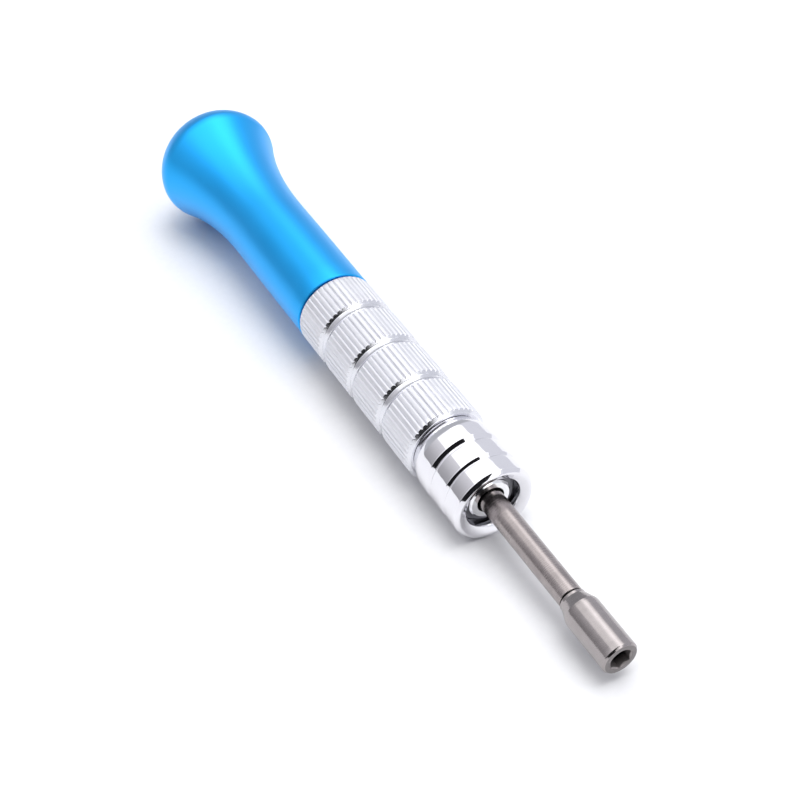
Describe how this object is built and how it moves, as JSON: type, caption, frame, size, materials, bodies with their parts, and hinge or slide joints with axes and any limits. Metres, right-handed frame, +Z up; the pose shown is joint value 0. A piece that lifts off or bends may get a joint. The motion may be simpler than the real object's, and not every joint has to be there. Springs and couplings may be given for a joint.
{
  "type": "watchmaker screwdriver",
  "caption": "Precision hexagon nut driver: a long handle that turns in the palm, a knurled finger sleeve and a pull-forward quick-release collar that holds a hexagon-shank bit.",
  "frame": {"origin": "middle of the nut socket's mouth, on the tool's axis", "axes": "+X along the tool's axis from the butt towards the bit's mouth, +Z up as the tool lies, +Y to the side; the tool lies at negative X"},
  "size_m": [0.14, 0.0222, 0.0222],
  "materials": {
    "blue_anodised": "fine satin bead-blasted aluminium, anodised bright sky blue",
    "bright_aluminium": "bright turned aluminium with crisp straight knurling",
    "polished_chrome": "mirror-polished nickel-chrome plating",
    "ground_steel": "finely turned and ground steel",
    "tool_steel": "satin tool steel with fine turning lines, warm grey",
    "spring_steel": "drawn spring steel, dull grey",
    "ball_steel": "hardened and polished bearing steel",
    "bronze": "sintered bearing bronze",
    "magnet_nickel": "nickel-plated neodymium magnet",
    "black_plastic": "thin black low-friction washer"
  },
  "bodies": {
    "palm_handle": {"palm_handle": "blue_anodised", "front_bush": "bronze", "rear_bush": "bronze", "thrust_disc": "ball_steel", "thrust_ball": "ball_steel", "seam_washer": "black_plastic"},
    "grip": {"grip_sleeve": "bright_aluminium", "spindle": "ground_steel", "spindle_clip": "spring_steel", "chuck_body": "ground_steel", "bit_magnet": "magnet_nickel", "spring_washer": "ground_steel", "snap_ring": "spring_steel", "collar_spring": "spring_steel"},
    "release_collar": {"release_collar": "polished_chrome"},
    "lock_ball_1": {"lock_ball_1": "ball_steel"},
    "lock_ball_2": {"lock_ball_2": "ball_steel"},
    "lock_ball_3": {"lock_ball_3": "ball_steel"},
    "bit": {"bit_shaft": "tool_steel", "nut_socket": "tool_steel"}
  },
  "joints": [
    {"name": "grip_swivel", "type": "hinge", "parent": "palm_handle", "child": "grip", "pos_m": [-0.0841, 0, 0], "axis": [1, 0, 0], "continuous": true},
    {"name": "collar_slide", "type": "slide", "parent": "grip", "child": "release_collar", "axis": [1, 0, 0], "range_m": [0, 0.002], "stiffness_N_per_m": 400, "springref_m": -0.004, "deforming": ["collar_spring"]},
    {"name": "lock_ball_1_slide", "type": "slide", "parent": "grip", "child": "lock_ball_1", "axis": [0, 0, 1], "range_m": [0, 0.0004]},
    {"name": "lock_ball_2_slide", "type": "slide", "parent": "grip", "child": "lock_ball_2", "axis": [0, -0.866, -0.5], "range_m": [0, 0.0004]},
    {"name": "lock_ball_3_slide", "type": "slide", "parent": "grip", "child": "lock_ball_3", "axis": [0, 0.866, -0.5], "range_m": [0, 0.0004]},
    {"name": "bit_pull", "type": "slide", "parent": "grip", "child": "bit", "axis": [1, 0, 0], "range_m": [0, 0.015]}
  ],
  "couplings": [
    {"joint": "lock_ball_1_slide", "follows": "collar_slide", "ratio": 0.18},
    {"joint": "lock_ball_2_slide", "follows": "collar_slide", "ratio": 0.18},
    {"joint": "lock_ball_3_slide", "follows": "collar_slide", "ratio": 0.18}
  ]
}
